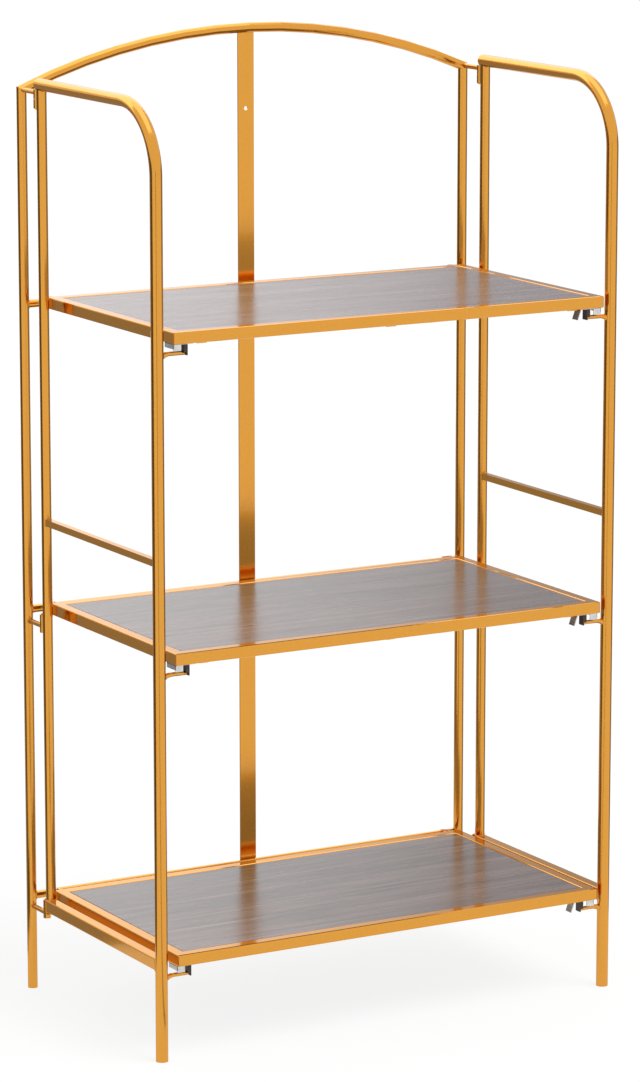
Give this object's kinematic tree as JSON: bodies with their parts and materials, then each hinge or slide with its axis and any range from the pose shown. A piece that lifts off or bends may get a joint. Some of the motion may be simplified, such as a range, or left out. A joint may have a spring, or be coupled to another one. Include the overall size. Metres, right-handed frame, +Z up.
{
  "type": "folding bookshelf",
  "caption": "Free-standing metal bookshelf: arched back frame, hinged side frames of bent tube, and shelves that pivot at the back and catch on rods at the front",
  "frame": {"origin": "middle of the base of the box round the open shelf unit, on the floor", "axes": "+Z up, X along the width, the open front faces -Y"},
  "size_m": [0.5426, 0.3108, 1.0138],
  "materials": {
    "gold_paint": "gold metallic coat, satin gloss",
    "bright_steel": "bright plated",
    "dark_plastic": "matt black",
    "shelf_board": "dark brown laminate with a glossy face"
  },
  "bodies": {
    "back_frame": {"back_post_left": "gold_paint", "back_post_right": "gold_paint", "top_arch": "gold_paint", "centre_strip": "gold_paint", "cross_bar_upper": "gold_paint", "pivot_pin_upper_left": "bright_steel", "pivot_pin_upper_right": "bright_steel", "cross_bar_middle": "gold_paint", "pivot_pin_middle_left": "bright_steel", "pivot_pin_middle_right": "bright_steel", "cross_bar_lower": "gold_paint", "pivot_pin_lower_left": "bright_steel", "pivot_pin_lower_right": "bright_steel", "hinge_arm_top_left": "gold_paint", "hinge_arm_middle_left": "gold_paint", "hinge_arm_bottom_left": "gold_paint", "hinge_arm_top_right": "gold_paint", "hinge_arm_middle_right": "gold_paint", "hinge_arm_bottom_right": "gold_paint"},
    "side_frame_left": {"front_tube_left": "gold_paint", "rear_post_left": "gold_paint", "mid_rail_left": "gold_paint", "bottom_rail_left": "gold_paint", "catch_rod_upper_left": "gold_paint", "catch_rod_middle_left": "gold_paint", "catch_rod_lower_left": "gold_paint", "hinge_sleeve_top_left": "gold_paint", "hinge_sleeve_middle_left": "gold_paint", "hinge_sleeve_bottom_left": "gold_paint"},
    "side_frame_right": {"front_tube_right": "gold_paint", "rear_post_right": "gold_paint", "mid_rail_right": "gold_paint", "bottom_rail_right": "gold_paint", "catch_rod_upper_right": "gold_paint", "catch_rod_middle_right": "gold_paint", "catch_rod_lower_right": "gold_paint", "hinge_sleeve_top_right": "gold_paint", "hinge_sleeve_middle_right": "gold_paint", "hinge_sleeve_bottom_right": "gold_paint"},
    "shelf_upper": {"shelf_frame_upper": "gold_paint", "shelf_panel_upper": "shelf_board", "catch_clip_upper_left": "bright_steel", "catch_hook_upper_left": "dark_plastic", "catch_clip_upper_right": "bright_steel", "catch_hook_upper_right": "dark_plastic"},
    "shelf_middle": {"shelf_frame_middle": "gold_paint", "shelf_panel_middle": "shelf_board", "catch_clip_middle_left": "bright_steel", "catch_hook_middle_left": "dark_plastic", "catch_clip_middle_right": "bright_steel", "catch_hook_middle_right": "dark_plastic"},
    "shelf_lower": {"shelf_frame_lower": "gold_paint", "shelf_panel_lower": "shelf_board", "catch_clip_lower_left": "bright_steel", "catch_hook_lower_left": "dark_plastic", "catch_clip_lower_right": "bright_steel", "catch_hook_lower_right": "dark_plastic"}
  },
  "joints": [
    {"name": "shelf_upper_fold", "type": "hinge", "parent": "back_frame", "child": "shelf_upper", "pos_m": [0, 0.13512, 0.7379], "axis": [-1, 0, 0], "range_deg": [0, 90]},
    {"name": "shelf_middle_fold", "type": "hinge", "parent": "back_frame", "child": "shelf_middle", "pos_m": [0, 0.13512, 0.4153], "axis": [-1, 0, 0], "range_deg": [0, 90]},
    {"name": "shelf_lower_fold", "type": "hinge", "parent": "back_frame", "child": "shelf_lower", "pos_m": [0, 0.13512, 0.1047], "axis": [-1, 0, 0], "range_deg": [0, 90]},
    {"name": "side_frame_left_swing", "type": "hinge", "parent": "back_frame", "child": "side_frame_left", "pos_m": [-0.265, 0.11257, 0.5], "axis": [0, 0, -1], "range_deg": [0, 90]},
    {"name": "side_frame_right_swing", "type": "hinge", "parent": "back_frame", "child": "side_frame_right", "pos_m": [0.265, 0.11257, 0.5], "axis": [0, 0, 1], "range_deg": [0, 90]}
  ]
}
